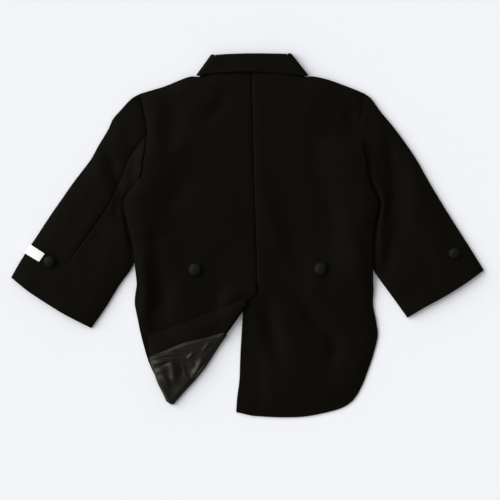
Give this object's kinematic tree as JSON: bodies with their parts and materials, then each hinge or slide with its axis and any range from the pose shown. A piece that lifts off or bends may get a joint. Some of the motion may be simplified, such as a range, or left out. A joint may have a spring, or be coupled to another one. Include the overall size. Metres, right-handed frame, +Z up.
{
  "type": "baby's white tie tailcoat laid flat",
  "caption": "Baby's black tailcoat laid flat with its back up: turn-down collar, two-piece sleeves, covered buttons, and one tail's corner folded over to show its lining.",
  "frame": {"origin": "centre of the bounding box at the level of the surface that the coat lies on", "axes": "+Z up from the surface, out of the coat's back; +X towards the sleeve at the picture's right; +Y towards the collar"},
  "size_m": [0.521, 0.4007, 0.0131],
  "materials": {
    "cloth": "matt black wool cloth",
    "satin": "black satin lining with a soft sheen",
    "covered_button": "black cloth over a domed button",
    "label": "off-white woven ribbon, bare"
  },
  "bodies": {
    "root": {"back_left": "cloth", "back_right": "cloth", "front_left": "cloth", "front_right": "cloth", "collar": "cloth", "lapel_left": "cloth", "lapel_right": "cloth", "sleeve_top_left": "cloth", "sleeve_under_left": "cloth", "sleeve_top_right": "cloth", "sleeve_under_right": "cloth", "vent_facing_left": "cloth", "tail_lining_left": "satin", "button_back_left": "covered_button", "button_back_right": "covered_button", "button_sleeve_left": "covered_button", "button_sleeve_right": "covered_button", "sleeve_label": "label"}
  },
  "joints": []
}
